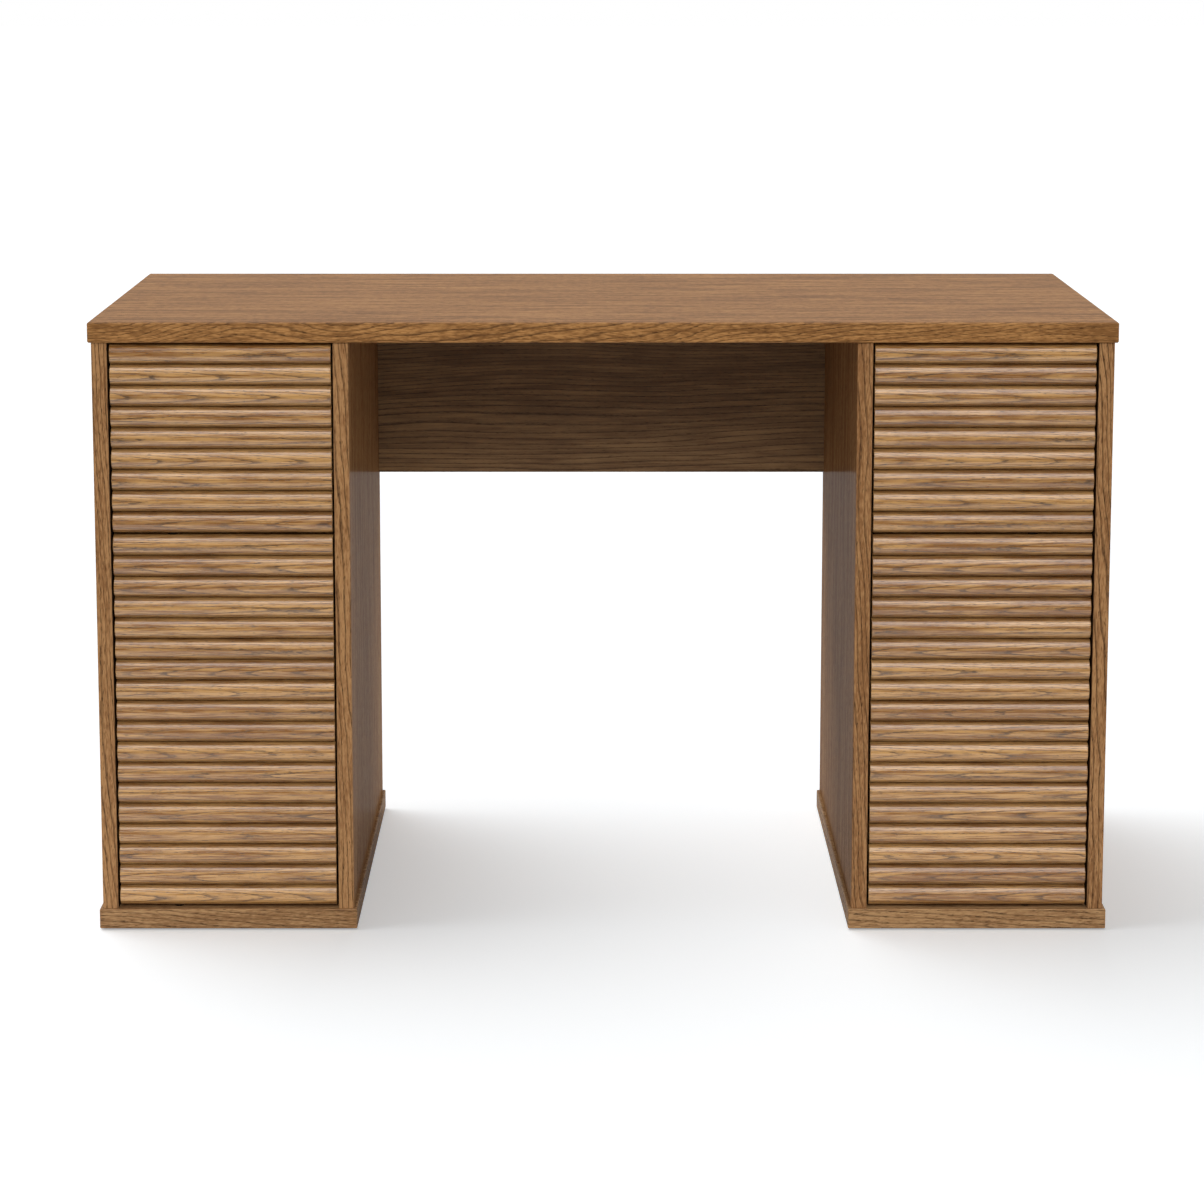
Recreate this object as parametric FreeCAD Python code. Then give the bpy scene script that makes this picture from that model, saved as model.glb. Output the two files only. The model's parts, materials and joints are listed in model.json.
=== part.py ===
import FreeCAD, Part
import math
import os

# Double pedestal writing desk in smoked oak, in millimetres.
# +X is to the right as seen from the front, -Y is the front and +Z is up.
# The origin is on the floor, under the middle of the desk.
# Each pedestal has a drawer over a cupboard. The right-hand one is modelled and the left is its mirror image.

# Overall sizes
desk_width = 1250.0
desk_depth = 600.0
desk_height = 760.0
pedestal_width = 312.0
overhang = 4.0
cut_overrun = 1.0
fitting_sides = 8
disc_sides = 16

# Boards
top_thickness = 25.0
base_thickness = 25.0
side_thickness = 19.0
divider_thickness = 18.0
divider_setback = 2.0
back_thickness = 8.0
back_rebate = 8.0
back_setback = 1.0
housing_depth = 5.0
top_ease = 1.5
base_ease = 1.0
board_ease = 0.8

# Rails under the tabletop
rail_thickness = 18.0
rail_width = 70.0
rail_setback = 6.0
top_screw_radius = 2.2
top_screw_length = 34.0
top_screw_head_radius = 4.2
top_screw_head_height = 2.4
top_screw_inset = 60.0

# Modesty panel and its cam fittings
modesty_height = 250.0
modesty_thickness = 19.0
cam_radius = 7.5
cam_depth = 12.5
cam_inset = 24.0
cam_edge_distance = 45.0
cam_bolt_radius = 3.0
cam_bolt_anchor = 11.0

# Floor glides
glide_height = 2.0
glide_radius = 10.0
glide_inset = 30.0

# Shelf and its pins
shelf_thickness = 18.0
shelf_height_share = 0.5
shelf_side_play = 1.0
shelf_back_play = 5.0
shelf_front_clearance = 8.0
shelf_pin_diameter = 5.0
shelf_pin_depth = 9.0
shelf_pad_reach = 8.0
shelf_pad_width = 12.0
shelf_pin_inset = 45.0
shelf_row_pitch = 32.0
shelf_rows = 3

# Fluted fronts
front_thickness = 22.0
flute_width = 26.0
flute_shortfall = 2.0
drawer_flutes = 9
front_side_gap = 2.5
front_top_gap = 1.5
front_bottom_gap = 2.0

# Door pivots
pivot_inset = 72.0
pivot_setback = 16.5
pivot_radius = 2.0
pivot_length = 13.0
pivot_anchor = 12.0
pivot_flange_radius = 6.0
pivot_plate_thickness = 1.5
pivot_plate_width = 12.0
pivot_plate_clearance = 0.5
pivot_plate_tail = 8.0
pivot_screw_pitch = 20.0
pivot_screw_clearance = 3.0
thrust_clearance = 0.1
bush_radius = 3.5
bush_length = 15.0
bush_end_room = 0.5

# Fits
running_clearance = 0.06
press_clearance = 0.05
hole_clearance = 0.1

# Small fitting screws
screw_radius = 1.75
screw_length = 14.0
screw_head_radius = 3.5
screw_head_height = 1.2

# Push latches
latch_width = 14.0
latch_length = 40.0
latch_ease = 1.5
door_latch_height = 20.0
door_latch_inset = 40.0
drawer_latch_height = 30.0
latch_foot_length = 11.0
latch_foot_thickness = 3.0
latch_rear_room = 1.8
plunger_width = 6.0
plunger_engagement = 18.0
plunger_head_width = 9.0
plunger_head_length = 4.0
plunger_reach = 10.0
plunger_stroke = 3.0
plunger_end_room = 1.0
latch_touch_gap = 0.2
strike_width = 16.0
strike_thickness = 1.2
strike_spigot_radius = 2.0
strike_spigot_length = 8.0

# Drawer box
box_board = 12.0
box_floor_gap = 8.0
box_top_gap = 12.0
corner_housing = 4.0
bottom_thickness = 6.0
bottom_rise = 12.0
groove_depth = 5.0
groove_play = 0.2
front_screw_radius = 2.0
front_screw_length = 19.0
front_screw_head_radius = 4.0
front_screw_head_height = 2.2
front_screw_inset = 40.0

# Telescopic drawer slides
slide_height = 45.0
slide_depth = 12.7
slide_sheet = 1.2
slide_rise = 70.0
slide_setback = 4.0
slide_lip_gap = 2.2
slide_tip_gap = 1.7
track_height = 3.5
cage_length = 200.0
cage_sheet = 0.8
cage_play = 0.5
cage_track_clearance = 0.1

# Directions
ORIGIN = FreeCAD.Vector(0, 0, 0)
RIGHT = FreeCAD.Vector(1, 0, 0)
BACK = FreeCAD.Vector(0, 1, 0)
UP = FreeCAD.Vector(0, 0, 1)
DOWN = FreeCAD.Vector(0, 0, -1)
FRONT = FreeCAD.Vector(0, -1, 0)
parallel_share = 0.999
half_share = 0.5

# Carcass planes
outer_x = desk_width / 2 - overhang
inner_x = outer_x - pedestal_width
cavity_outer = outer_x - side_thickness
cavity_inner = inner_x + side_thickness
cavity_middle = (cavity_outer + cavity_inner) / 2
front_y = overhang - desk_depth / 2
rear_y = desk_depth / 2
base_top = glide_height + base_thickness
top_under = desk_height - top_thickness
rail_under = top_under - rail_thickness
modesty_under = top_under - modesty_height
modesty_front = rear_y - modesty_thickness
back_front = rear_y - back_setback - back_thickness

# Fronts: as many flutes as fit share out the height that the gaps leave, each a little short of half round
front_back = front_y + front_thickness
front_low_x = cavity_inner + front_side_gap
front_high_x = cavity_outer - front_side_gap
middle_gap = pivot_plate_thickness + 2 * pivot_plate_clearance
fluted_height = top_under - base_top - front_top_gap - middle_gap - front_bottom_gap
door_flutes = round(fluted_height / flute_width) - drawer_flutes
flute_pitch = fluted_height / (drawer_flutes + door_flutes)
flute_root = front_y + flute_pitch / 2 - flute_shortfall
door_low = base_top + front_bottom_gap
door_high = door_low + door_flutes * flute_pitch
drawer_low = door_high + middle_gap

# Divider, which carries the top pivot plate on its underside
divider_under = door_high + pivot_plate_clearance + pivot_plate_thickness
divider_top = divider_under + divider_thickness
divider_front = front_back + divider_setback

# Door pivot line, and the circle that the hinge edge of the door sweeps
pivot_x = front_high_x - pivot_inset
pivot_y = front_y + pivot_setback
hinge_sweep = math.hypot(pivot_inset, max(pivot_setback, front_thickness - pivot_setback))
pivot_screw_start = pivot_y + hinge_sweep + screw_head_radius + pivot_screw_clearance

# Shelf
shelf_under = base_top + shelf_height_share * (divider_under - base_top) - shelf_thickness / 2
shelf_front = pivot_y + hinge_sweep + shelf_front_clearance
shelf_rear = back_front - shelf_back_play

# Drawer box
drawer_back_room = latch_touch_gap + plunger_reach + latch_length + latch_foot_length + latch_rear_room
box_low_x = cavity_inner + slide_depth
box_high_x = cavity_outer - slide_depth
box_rear = back_front - drawer_back_room
box_low = divider_top + box_floor_gap
box_high = rail_under - box_top_gap
bottom_low = box_low + bottom_rise

# Slide sections: distance from the cabinet wall, and half heights from the cabinet member inwards
slide_front = front_back + slide_setback
slide_length = box_rear - slide_front
slide_z = box_low + slide_rise
member_step = slide_sheet + cage_sheet + 2 * cage_play
cabinet_half = slide_height / 2
middle_half = cabinet_half - slide_sheet - track_height
drawer_half = middle_half - slide_sheet - track_height
cabinet_tip = slide_depth - slide_lip_gap
middle_tip = slide_depth - slide_tip_gap
drawer_tip = 2 * member_step
cage_front = slide_front + (slide_length - cage_length) / 2


def at(x, y, z):
    """A point."""
    return FreeCAD.Vector(x, y, z)


def block(x, y, z):
    """A box between three pairs of planes."""
    return Part.makeBox(x[1] - x[0], y[1] - y[0], z[1] - z[0], at(x[0], y[0], z[0]))


def chamfered(shape, width, directions):
    """Take the sharp edges off, where they run along one of the directions."""
    def runs_along(edge, direction):
        return abs(edge.tangentAt(edge.FirstParameter).dot(direction)) > parallel_share
    edges = [edge for edge in shape.Edges if any(runs_along(edge, way) for way in directions)]
    return shape.makeChamfer(width, edges)


def bar(radius, length, start, into, sides=fitting_sides):
    """Bar with few sides, for small round fittings and their holes."""
    across_bar = BACK if abs(into.z) > parallel_share else UP
    around_bar = into.cross(across_bar)
    turns = [math.tau * (side + half_share) / sides for side in range(sides)]
    corners = [start + across_bar * (radius * math.cos(turn)) + around_bar * (radius * math.sin(turn))
               for turn in turns]
    return Part.Face(Part.makePolygon(corners + corners[:1])).extrude(into * length)


def mirrored(shape):
    """The same piece on the left-hand pedestal."""
    return shape.mirror(ORIGIN, RIGHT)


def across(shape):
    """The same piece on the other wall of the right-hand pedestal."""
    return shape.mirror(at(cavity_middle, 0, 0), RIGHT)


def group(shapes):
    """Separate solids that share a node."""
    return Part.makeCompound(shapes)


def save(name, shape):
    """Write one node."""
    shape.exportStep(os.path.join("parts", name + ".step"))


def save_pair(name, shape):
    """Write a right-hand node and its left-hand mirror image."""
    save("right_" + name, shape)
    save("left_" + name, mirrored(shape))


def save_both(name, shapes):
    """Write one node that holds the same fittings of both pedestals."""
    save(name, group(shapes + [mirrored(shape) for shape in shapes]))


def screw(seat, into, radius, length, head_radius, head_height):
    """Screw with a flat head that lies on its seat."""
    shank = bar(radius, length, seat, into)
    head = bar(head_radius, head_height, seat, into.negative())
    return shank.fuse(head).removeSplitter()


def screw_hole(seat, into, radius, length):
    """Hole that a screw passes through or bites into."""
    start = seat - into * cut_overrun
    return bar(radius + hole_clearance, length + 2 * cut_overrun, start, into)


def fitting_screw(seat, into):
    """Small screw for the pivot plates and latches."""
    return screw(seat, into, screw_radius, screw_length, screw_head_radius, screw_head_height)


def fitting_hole(seat, into):
    """Hole for a small fitting screw."""
    return screw_hole(seat, into, screw_radius, screw_length)


def divider_block():
    """Board between drawer and cupboard, let into both sides."""
    return block((cavity_inner - housing_depth, cavity_outer + housing_depth),
                 (divider_front, back_front), (divider_under, divider_top))


def rail_blocks():
    """Front and rear rails under the tabletop, let into both sides."""
    starts = (front_back + rail_setback, back_front - rail_width)
    across_x = (cavity_inner - housing_depth, cavity_outer + housing_depth)
    return [block(across_x, (start, start + rail_width), (rail_under, top_under)) for start in starts]


def top_screw_seats():
    """Places under the rails where screws go up into the tabletop."""
    columns = (cavity_inner + top_screw_inset, cavity_outer - top_screw_inset)
    rows = (front_back + rail_setback + rail_width / 2, back_front - rail_width / 2)
    return [at(x, y, rail_under) for x in columns for y in rows]


def top_screw_holes():
    """Holes for those screws through the rails and into the tabletop."""
    return [screw_hole(seat, UP, top_screw_radius, top_screw_length) for seat in top_screw_seats()]


def cam_heights():
    """Heights of the fittings at each end of the modesty panel."""
    return (modesty_under + cam_edge_distance, top_under - cam_edge_distance)


def cam_bolts():
    """Bolts from the inner side into the end of the modesty panel, as far as the cams."""
    start = inner_x - cam_inset + cam_radius + hole_clearance
    length = cam_inset - cam_radius - hole_clearance + cam_bolt_anchor
    middle_y = rear_y - modesty_thickness / 2
    return [bar(cam_bolt_radius, length, at(start, middle_y, z), RIGHT) for z in cam_heights()]


def cam_bolt_holes():
    """Holes for the cam bolts in the panel's end and in the inner side."""
    start = inner_x - cam_inset
    length = cam_inset + cam_bolt_anchor + hole_clearance
    middle_y = rear_y - modesty_thickness / 2
    radius = cam_bolt_radius + hole_clearance
    return [bar(radius, length, at(start, middle_y, z), RIGHT) for z in cam_heights()]


def cams():
    """Cam discs sunk in the rear face of the modesty panel."""
    return [bar(cam_radius, cam_depth, at(inner_x - cam_inset, rear_y, z), FRONT, disc_sides)
            for z in cam_heights()]


def cam_holes():
    """Blind holes for the cam discs."""
    start = rear_y + cut_overrun
    depth = cam_depth + cut_overrun + hole_clearance
    return [bar(cam_radius + hole_clearance, depth, at(inner_x - cam_inset, start, z), FRONT, disc_sides)
            for z in cam_heights()]


def shelf_pin_columns():
    """Depths at which the shelf is carried."""
    return (shelf_front + shelf_pin_inset, shelf_rear - shelf_pin_inset)


def shelf_pin(y):
    """Peg in the inner side, with a flat pad under the shelf."""
    radius = shelf_pin_diameter / 2
    peg = bar(radius, shelf_pin_depth, at(cavity_inner - shelf_pin_depth, y, shelf_under - radius), RIGHT)
    pad = block((cavity_inner, cavity_inner + shelf_pad_reach),
                (y - shelf_pad_width / 2, y + shelf_pad_width / 2),
                (shelf_under - shelf_pin_diameter, shelf_under))
    return peg.fuse(pad).removeSplitter()


def shelf_pins():
    """Pins on both walls."""
    inner = [shelf_pin(y) for y in shelf_pin_columns()]
    return inner + [across(pin) for pin in inner]


def shelf_pin_holes():
    """Rows of peg holes on both walls, so that the shelf can be moved."""
    radius = shelf_pin_diameter / 2
    start = cavity_inner - shelf_pin_depth - hole_clearance
    depth = shelf_pin_depth + hole_clearance + cut_overrun
    rows = [shelf_under - radius + (row - (shelf_rows - 1) / 2) * shelf_row_pitch for row in range(shelf_rows)]
    inner = [bar(radius + hole_clearance, depth, at(start, y, z), RIGHT)
             for y in shelf_pin_columns() for z in rows]
    return inner + [across(hole) for hole in inner]


def side_blocks():
    """Inner and outer side boards, let into the base board."""
    starts = (inner_x, cavity_outer)
    return [block((start, start + side_thickness), (front_y, rear_y), (base_top - housing_depth, top_under))
            for start in starts]


def sides():
    """Inner and outer sides with their housings, rebates and holes."""
    rebate = block((cavity_inner - back_rebate, cavity_outer + back_rebate), (back_front, rear_y + cut_overrun),
                   (base_top, top_under + cut_overrun))
    cuts = [divider_block(), rebate] + rail_blocks() + shelf_pin_holes() + cam_bolt_holes()
    return [chamfered(board, board_ease, [UP]).cut(cuts) for board in side_blocks()]


def back_panel():
    """Back panel in the rebates of the sides."""
    return block((cavity_inner - back_rebate, cavity_outer + back_rebate),
                 (back_front, back_front + back_thickness), (base_top, top_under))


def base_board():
    """Base board, proud of the sides and the front, with housings for the sides."""
    board = chamfered(block((inner_x - overhang, outer_x + overhang), (-desk_depth / 2, rear_y),
                            (glide_height, base_top)), base_ease, [RIGHT, BACK, UP])
    pin_hole = bar(pivot_radius + press_clearance, pivot_anchor + press_clearance + cut_overrun,
                   at(pivot_x, pivot_y, base_top + cut_overrun), DOWN)
    return board.cut(side_blocks() + [pin_hole])


def glides():
    """Nylon pads under the corners of the base board."""
    columns = (inner_x - overhang + glide_inset, outer_x + overhang - glide_inset)
    rows = (glide_inset - desk_depth / 2, rear_y - glide_inset)
    return [bar(glide_radius, glide_height, at(x, y, 0), UP, disc_sides) for x in columns for y in rows]


def shelf():
    """Loose shelf on its pins."""
    return chamfered(block((cavity_inner + shelf_side_play, cavity_outer - shelf_side_play),
                           (shelf_front, shelf_rear), (shelf_under, shelf_under + shelf_thickness)),
                     board_ease, [RIGHT])


def fluted_panel(low, flutes):
    """Front panel whose face is a row of half-round flutes that meet in sharp valleys."""
    high = low + flutes * flute_pitch
    corners = [at(front_low_x, flute_root, low), at(front_low_x, front_back, low),
               at(front_low_x, front_back, high), at(front_low_x, flute_root, high)]
    edges = [Part.LineSegment(start, end).toShape() for start, end in zip(corners, corners[1:])]
    for flute in range(flutes):
        bottom = low + flute * flute_pitch
        edges.append(Part.Arc(at(front_low_x, flute_root, bottom),
                              at(front_low_x, front_y, bottom + flute_pitch / 2),
                              at(front_low_x, flute_root, bottom + flute_pitch)).toShape())
    outline = Part.Wire(Part.__sortEdges__(edges))
    return Part.Face(outline).extrude(RIGHT * (front_high_x - front_low_x))


def bush(end, into):
    """Brass bush sunk in the edge of the door."""
    tube = bar(bush_radius, bush_length, end, into)
    return tube.cut(Part.makeCylinder(pivot_radius + running_clearance, bush_length, end, into))


def bush_hole(end, into):
    """Blind hole for a bush."""
    depth = bush_length + bush_end_room + cut_overrun
    return bar(bush_radius + press_clearance, depth, end - into * cut_overrun, into)


def bush_ends():
    """Where the bushes meet the upper and lower edges of the door, and which way they go in."""
    return [(at(pivot_x, pivot_y, door_high), DOWN), (at(pivot_x, pivot_y, door_low), UP)]


def square_bar(width, length, start):
    """Square bar that runs back from the middle of its front end."""
    return block((start.x - width / 2, start.x + width / 2), (start.y, start.y + length),
                 (start.z - width / 2, start.z + width / 2))


def strike_place():
    """Middle of the strike on the back of the door, in line with the plunger."""
    height = divider_under - door_latch_height + latch_width / 2
    return at(cavity_inner + door_latch_inset, front_back, height)


def strike():
    """Steel plate that the plunger touches, held by a spigot driven into the door."""
    plate = square_bar(strike_width, strike_thickness, strike_place())
    spigot = bar(strike_spigot_radius, strike_spigot_length, strike_place(), FRONT)
    return plate.fuse(spigot).removeSplitter()


def door_panel():
    """Fluted door with holes for its bushes and its strike."""
    spigot_depth = strike_spigot_length + press_clearance + cut_overrun
    spigot_hole = bar(strike_spigot_radius + press_clearance, spigot_depth,
                      strike_place() + BACK * cut_overrun, FRONT)
    holes = [bush_hole(end, into) for end, into in bush_ends()] + [spigot_hole]
    return fluted_panel(door_low, door_flutes).cut(holes)


def pivot_screw_seats():
    """Screw places behind the sweep of the door's hinge edge."""
    under_plate = divider_under - pivot_plate_thickness
    return [at(pivot_x, pivot_screw_start + step * pivot_screw_pitch, under_plate) for step in range(2)]


def top_pivot_plate():
    """Thin plate under the divider that reaches forward over the door, with the upper pin."""
    under_plate = divider_under - pivot_plate_thickness
    tail = pivot_screw_seats()[-1].y + pivot_plate_tail
    nose_radius = pivot_plate_width / 2 / math.cos(math.pi / fitting_sides)
    nose = bar(nose_radius, pivot_plate_thickness, at(pivot_x, pivot_y, under_plate), UP)
    tongue = block((pivot_x - pivot_plate_width / 2, pivot_x + pivot_plate_width / 2),
                   (pivot_y, tail), (under_plate, divider_under))
    pin = Part.makeCylinder(pivot_radius, pivot_length, at(pivot_x, pivot_y, under_plate), DOWN)
    plate = tongue.fuse([nose, pin]).removeSplitter()
    return plate.cut([fitting_hole(seat, UP) for seat in pivot_screw_seats()])


def bottom_pivot_pin():
    """Lower pin in the base board, with a flange that carries the door."""
    flange_height = front_bottom_gap - thrust_clearance
    seat = at(pivot_x, pivot_y, base_top)
    flange = bar(pivot_flange_radius, flange_height, seat, UP)
    anchor = bar(pivot_radius, pivot_anchor, seat, DOWN)
    pin = Part.makeCylinder(pivot_radius, flange_height + pivot_length, seat, UP)
    return flange.fuse([anchor, pin]).removeSplitter()


def latch_body(middle_x, front, seat, away, height):
    """Latch housing on the divider, with a foot behind it and a bore for the plunger."""
    def span(reach):
        return sorted((seat, seat + away.z * reach))
    housing = chamfered(block((middle_x - latch_width / 2, middle_x + latch_width / 2),
                              (front, front + latch_length), span(height)), latch_ease, [BACK])
    foot = block((middle_x - latch_width / 2, middle_x + latch_width / 2),
                 (front + latch_length - cut_overrun, front + latch_length + latch_foot_length),
                 span(latch_foot_thickness))
    bore_depth = plunger_engagement + plunger_stroke + plunger_end_room + cut_overrun
    bore_start = at(middle_x, front - cut_overrun, seat + away.z * (height - latch_width / 2))
    bore = square_bar(plunger_width + 2 * running_clearance, bore_depth, bore_start)
    return housing.fuse(foot).removeSplitter().cut([bore, latch_screw_hole(middle_x, front, seat, away)])


def latch_screw_seat(middle_x, front, seat, away):
    """Top of the latch foot, where its screw sits."""
    return at(middle_x, front + latch_length + latch_foot_length / 2, seat + away.z * latch_foot_thickness)


def latch_screw_hole(middle_x, front, seat, away):
    """Hole through the latch foot and into the divider."""
    return fitting_hole(latch_screw_seat(middle_x, front, seat, away), away.negative())


def plunger(middle_x, front, height):
    """Square plunger with a broad head, which slides in the bore of its latch."""
    tip = at(middle_x, front - plunger_reach, height)
    head = square_bar(plunger_head_width, plunger_head_length, tip)
    shaft = square_bar(plunger_width, plunger_reach + plunger_engagement, tip)
    return head.fuse(shaft).removeSplitter()


def door_latch():
    """Place of the door latch: under the divider, near the free edge of the door."""
    front = front_back + strike_thickness + latch_touch_gap + plunger_reach
    return cavity_inner + door_latch_inset, front, divider_under, DOWN


def drawer_latch():
    """Place of the drawer latch: on the divider, behind the drawer."""
    return cavity_middle, box_rear + latch_touch_gap + plunger_reach, divider_top, UP


def divider():
    """Divider with the holes for what is screwed to it."""
    holes = [fitting_hole(seat, UP) for seat in pivot_screw_seats()]
    holes += [latch_screw_hole(*door_latch()), latch_screw_hole(*drawer_latch())]
    return divider_block().cut(holes)


def box_end_blocks():
    """Front and back boards of the drawer box, let into its sides."""
    across_x = (box_low_x + box_board - corner_housing, box_high_x - box_board + corner_housing)
    starts = (front_back, box_rear - box_board)
    return [block(across_x, (start, start + box_board), (box_low, box_high)) for start in starts]


def bottom_groove():
    """Groove round the inside of the box for the bottom panel."""
    inset = box_board - groove_depth
    return block((box_low_x + inset, box_high_x - inset), (front_back + inset, box_rear - inset),
                 (bottom_low, bottom_low + bottom_thickness + groove_play))


def box_bottom():
    """Bottom panel, a little smaller than its groove."""
    inset = box_board - groove_depth + groove_play
    return block((box_low_x + inset, box_high_x - inset), (front_back + inset, box_rear - inset),
                 (bottom_low, bottom_low + bottom_thickness))


def box_side():
    """Inner side of the drawer box."""
    board = chamfered(block((box_low_x, box_low_x + box_board), (front_back, box_rear), (box_low, box_high)),
                      board_ease, [BACK])
    return board.cut(box_end_blocks() + [bottom_groove()])


def front_screw_seats():
    """Places inside the box where screws go into the fluted front."""
    columns = (box_low_x + front_screw_inset, box_high_x - front_screw_inset)
    rows = (box_low + front_screw_inset, box_high - front_screw_inset)
    return [at(x, front_back + box_board, z) for x in columns for z in rows]


def front_screws():
    """Screws that hold the fluted front to the box."""
    return [screw(seat, FRONT, front_screw_radius, front_screw_length, front_screw_head_radius,
                  front_screw_head_height) for seat in front_screw_seats()]


def front_screw_holes():
    """Holes for those screws."""
    return [screw_hole(seat, FRONT, front_screw_radius, front_screw_length) for seat in front_screw_seats()]


def channel(web, tip, half_height, sheet, start, length):
    """Sheet channel on the inner wall: a web, and two flanges that reach from it to the tip."""
    inside = web + math.copysign(sheet, tip - web)
    lip = half_height - sheet
    outline = [(web, -half_height), (tip, -half_height), (tip, -lip), (inside, -lip),
               (inside, lip), (tip, lip), (tip, half_height), (web, half_height)]
    points = [at(cavity_inner + reach, start, slide_z + height) for reach, height in outline]
    return Part.Face(Part.makePolygon(points + points[:1])).extrude(BACK * length)


def cage(web, tip, member_half):
    """Nylon ball cage that wraps a member's web and fills the tracks above and below it."""
    track = track_height - 2 * cage_track_clearance
    half_height = member_half + track_height - cage_track_clearance
    slab = channel(web, tip, half_height, cage_sheet, cage_front, cage_length)
    pads = [block((cavity_inner + web, cavity_inner + tip), (cage_front, cage_front + cage_length),
                  (slide_z + low, slide_z + low + track))
            for low in (half_height - track, -half_height)]
    return slab.fuse(pads).removeSplitter()


def both_walls(shape):
    """A slide piece on the inner wall and its twin on the outer wall."""
    return group([shape, across(shape)])


def build_carcass():
    """Boards that stand still."""
    side_holes = top_screw_holes()
    tabletop = chamfered(block((-desk_width / 2, desk_width / 2), (-desk_depth / 2, rear_y),
                               (top_under, desk_height)), top_ease, [RIGHT, BACK, UP])
    save("tabletop", tabletop.cut(side_holes + [mirrored(hole) for hole in side_holes]))
    modesty = chamfered(block((-inner_x, inner_x), (modesty_front, rear_y), (modesty_under, top_under)),
                        board_ease, [RIGHT])
    panel_holes = cam_holes() + cam_bolt_holes()
    save("modesty_panel", modesty.cut(panel_holes + [mirrored(hole) for hole in panel_holes]))
    inner_side, outer_side = sides()
    save_pair("inner_side", inner_side)
    save_pair("outer_side", outer_side)
    save_pair("base_board", base_board())
    save_pair("back_panel", back_panel())
    save_pair("divider", divider())
    save_pair("shelf", shelf())
    save_pair("top_rails", group([rail.cut(side_holes) for rail in rail_blocks()]))


def build_fittings():
    """Fixed fittings of both pedestals."""
    save_both("modesty_cams", cams())
    save_both("modesty_cam_bolts", cam_bolts())
    save_both("base_glides", glides())
    save_both("shelf_pins", shelf_pins())
    save_both("top_screws", [screw(seat, UP, top_screw_radius, top_screw_length, top_screw_head_radius,
                                   top_screw_head_height) for seat in top_screw_seats()])
    latch_screws = [fitting_screw(latch_screw_seat(*latch), latch[-1].negative())
                    for latch in (door_latch(), drawer_latch())]
    save_both("fitting_screws", latch_screws + [fitting_screw(seat, UP) for seat in pivot_screw_seats()])
    save_both("top_pivot_plates", [top_pivot_plate()])
    save_both("bottom_pivot_pins", [bottom_pivot_pin()])
    save_both("door_latch_bodies", [latch_body(*door_latch(), door_latch_height)])
    save_both("drawer_latch_bodies", [latch_body(*drawer_latch(), drawer_latch_height)])


def build_doors():
    """Doors, and the plungers of their latches."""
    save_pair("door_panel", door_panel())
    save_pair("door_bushes", group([bush(end, into) for end, into in bush_ends()]))
    save_pair("door_strike", strike())
    middle_x, front, _, _ = door_latch()
    save_pair("door_plunger", plunger(middle_x, front, strike_place().z))


def build_drawers():
    """Drawers, and the plungers of their latches."""
    front_board, back_board = box_end_blocks()
    save_pair("drawer_front", fluted_panel(drawer_low, drawer_flutes).cut(front_screw_holes()))
    save_pair("drawer_box_front", front_board.cut(front_screw_holes() + [bottom_groove()]))
    save_pair("drawer_back", back_board.cut(bottom_groove()))
    save_pair("drawer_sides", both_walls(box_side()))
    save_pair("drawer_bottom", box_bottom())
    save_pair("drawer_screws", group(front_screws()))
    middle_x, front, seat, _ = drawer_latch()
    save_pair("drawer_plunger", plunger(middle_x, front, seat + drawer_latch_height - latch_width / 2))


def build_slides():
    """Telescopic slides: three nested channels, with ball cages between them."""
    cabinet = channel(0, cabinet_tip, cabinet_half, slide_sheet, slide_front, slide_length)
    middle = channel(member_step, middle_tip, middle_half, slide_sheet, slide_front, slide_length)
    drawer = channel(slide_depth, drawer_tip, drawer_half, slide_sheet, slide_front, slide_length)
    outer_cage = cage(slide_sheet + cage_play, cabinet_tip, middle_half)
    inner_cage = cage(member_step + slide_sheet + cage_play, middle_tip, drawer_half)
    save_pair("slide_cabinet_members", both_walls(cabinet))
    save_pair("slide_middle_members", both_walls(middle))
    save_pair("slide_drawer_members", both_walls(drawer))
    save_pair("slide_outer_cages", both_walls(outer_cage))
    save_pair("slide_inner_cages", both_walls(inner_cage))


os.makedirs("parts", exist_ok=True)
build_carcass()
build_fittings()
build_doors()
build_drawers()
build_slides()
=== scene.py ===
import json
import logging
import math
import random
from dataclasses import dataclass
from enum import Enum
from typing import Any, Optional, Sequence, Union

import bmesh
import bpy
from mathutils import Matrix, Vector

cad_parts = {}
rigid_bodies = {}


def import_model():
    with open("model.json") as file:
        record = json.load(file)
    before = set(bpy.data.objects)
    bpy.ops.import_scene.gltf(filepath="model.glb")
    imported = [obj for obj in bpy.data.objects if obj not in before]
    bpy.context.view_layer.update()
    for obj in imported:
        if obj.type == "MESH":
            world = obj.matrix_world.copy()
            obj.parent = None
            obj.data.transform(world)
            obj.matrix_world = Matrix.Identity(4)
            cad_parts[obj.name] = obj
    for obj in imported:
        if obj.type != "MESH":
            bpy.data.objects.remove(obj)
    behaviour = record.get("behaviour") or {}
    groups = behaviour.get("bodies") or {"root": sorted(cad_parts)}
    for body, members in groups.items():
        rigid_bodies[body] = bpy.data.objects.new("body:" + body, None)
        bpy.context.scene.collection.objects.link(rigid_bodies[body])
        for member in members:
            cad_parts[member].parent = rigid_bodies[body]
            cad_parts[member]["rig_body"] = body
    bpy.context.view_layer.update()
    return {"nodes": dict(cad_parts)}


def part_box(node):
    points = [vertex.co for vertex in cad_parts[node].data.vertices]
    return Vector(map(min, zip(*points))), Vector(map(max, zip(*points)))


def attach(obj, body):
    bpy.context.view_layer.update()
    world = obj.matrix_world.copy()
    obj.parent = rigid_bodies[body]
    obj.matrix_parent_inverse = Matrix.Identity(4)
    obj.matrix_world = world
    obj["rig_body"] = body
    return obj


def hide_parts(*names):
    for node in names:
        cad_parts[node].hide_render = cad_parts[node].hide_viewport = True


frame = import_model()

log = logging.getLogger("desk")

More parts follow.
